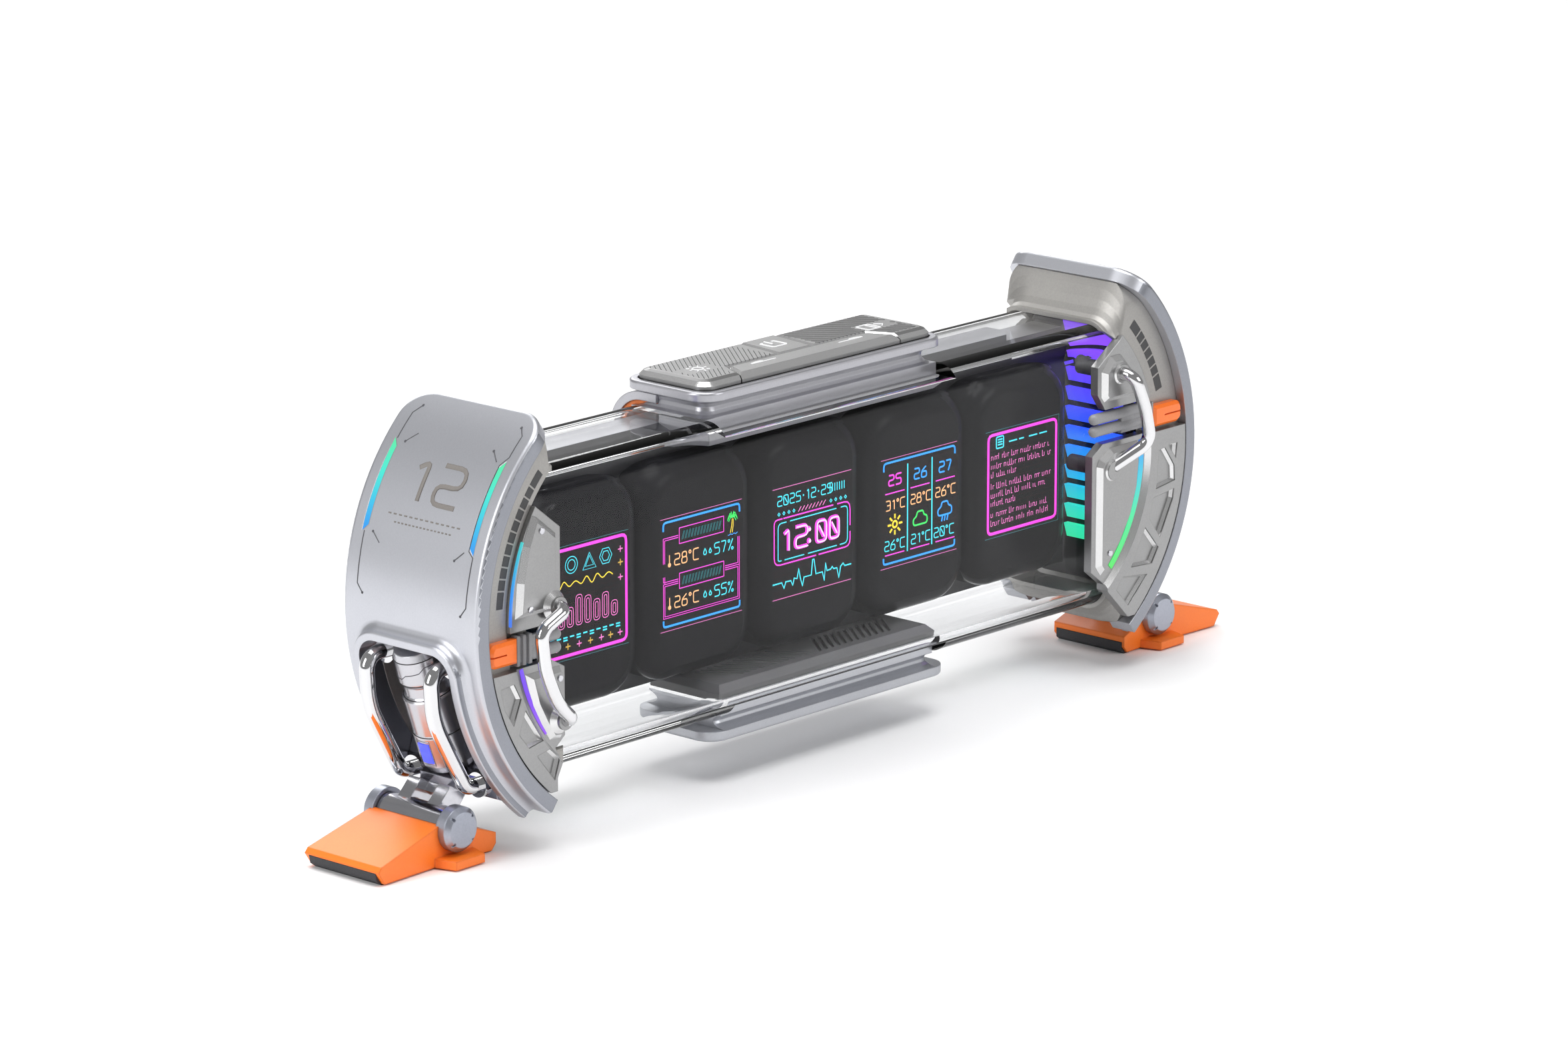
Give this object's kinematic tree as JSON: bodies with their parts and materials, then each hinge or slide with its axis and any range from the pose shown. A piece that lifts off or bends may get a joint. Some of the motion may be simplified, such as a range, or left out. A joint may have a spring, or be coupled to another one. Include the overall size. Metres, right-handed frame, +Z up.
{
  "type": "digital desk clock",
  "caption": "Desk clock with a row of small square screens in a clear tube between curved metal ends on hinged feet, with keys on top.",
  "frame": {"origin": "centre of the clock's outline on the desk, under the feet", "axes": "+X to the right along the row of screens, +Y to the back, +Z up"},
  "size_m": [0.2328, 0.042, 0.0787],
  "materials": {
    "clear_plastic": "polished",
    "black_glass": "polished",
    "screen": "polished",
    "satin_silver": "satin anodised",
    "blasted_casting": "bead-blasted",
    "dark_metal": "satin",
    "channel_metal": "satin",
    "chrome": "polished",
    "steel": "machined",
    "orange_paint": "satin",
    "orange_plastic": "satin",
    "dark_rubber": "matt",
    "soft_pad": "matt",
    "light_guide": "lit",
    "purple_guide": "lit",
    "grey_plastic": "matt",
    "dark_plastic": "matt",
    "key_metal": "satin anodised",
    "board": "solder mask",
    "light_board": "matt"
  },
  "bodies": {
    "clock_body": {"bar_standoffs": "dark_rubber", "base_clamp": "dark_metal", "base_housing": "satin_silver", "chassis_beam": "channel_metal", "cheek_bars": "chrome", "cheek_lights": "light_guide", "cheek_screws": "steel", "clear_tube": "clear_plastic", "clip_pad": "soft_pad", "display_module_1": "black_glass", "display_module_2": "black_glass", "display_module_3": "black_glass", "display_module_4": "black_glass", "display_module_5": "black_glass", "display_panels": "screen", "key_board": "board", "left_back_lower_cheek": "blasted_casting", "left_back_upper_cheek": "blasted_casting", "left_collar": "blasted_casting", "left_column": "satin_silver", "left_front_lower_cheek": "blasted_casting", "left_front_upper_cheek": "blasted_casting", "left_light_wall": "light_board", "left_outer_bars": "chrome", "left_plate": "satin_silver", "left_recess_pan": "dark_metal", "left_yoke": "chrome", "main_board": "board", "plate_light_bars": "light_guide", "power_socket": "steel", "rear_clip": "satin_silver", "release_tabs": "orange_plastic", "ribbed_connectors": "grey_plastic", "right_back_lower_cheek": "blasted_casting", "right_back_upper_cheek": "blasted_casting", "right_collar": "blasted_casting", "right_column": "satin_silver", "right_front_lower_cheek": "blasted_casting", "right_front_upper_cheek": "blasted_casting", "right_light_wall": "light_board", "right_outer_bars": "chrome", "right_plate": "satin_silver", "right_recess_pan": "dark_metal", "right_yoke": "chrome", "top_clamp": "dark_metal", "top_housing": "satin_silver", "vent_bars": "dark_plastic", "wall_lights": "purple_guide"},
    "left_foot_body": {"left_foot": "orange_paint", "left_foot_pads": "dark_rubber", "left_hinge_pin": "steel", "left_hinge_caps": "satin_silver"},
    "right_foot_body": {"right_foot": "orange_paint", "right_foot_pads": "dark_rubber", "right_hinge_pin": "steel", "right_hinge_caps": "satin_silver"},
    "light_key_body": {"light_key": "key_metal"},
    "power_key_body": {"power_key": "key_metal"},
    "mode_key_body": {"mode_key": "key_metal"},
    "rocker_key_body": {"rocker_key": "key_metal"}
  },
  "joints": [
    {"name": "left_foot_fold", "type": "hinge", "parent": "clock_body", "child": "left_foot_body", "pos_m": [-0.09706, 0, 0.00646], "axis": [0, 1, 0], "range_deg": [-8, 50]},
    {"name": "right_foot_fold", "type": "hinge", "parent": "clock_body", "child": "right_foot_body", "pos_m": [0.09706, 0, 0.00646], "axis": [0, 1, 0], "range_deg": [-50, 8]},
    {"name": "light_key_press", "type": "slide", "parent": "clock_body", "child": "light_key_body", "axis": [0, 0, -1], "range_m": [0, 0.0006], "stiffness_N_per_m": 800, "springref_m": -0.0004},
    {"name": "power_key_press", "type": "slide", "parent": "clock_body", "child": "power_key_body", "axis": [0, 0, -1], "range_m": [0, 0.0006], "stiffness_N_per_m": 800, "springref_m": -0.0004},
    {"name": "mode_key_press", "type": "slide", "parent": "clock_body", "child": "mode_key_body", "axis": [0, 0, -1], "range_m": [0, 0.0006], "stiffness_N_per_m": 800, "springref_m": -0.0004},
    {"name": "rocker_key_rock", "type": "hinge", "parent": "clock_body", "child": "rocker_key_body", "pos_m": [0, -0.0052, 0.0732], "axis": [0, 1, 0], "range_deg": [-1.2, 1.2], "stiffness_Nm_per_rad": 0.6}
  ]
}
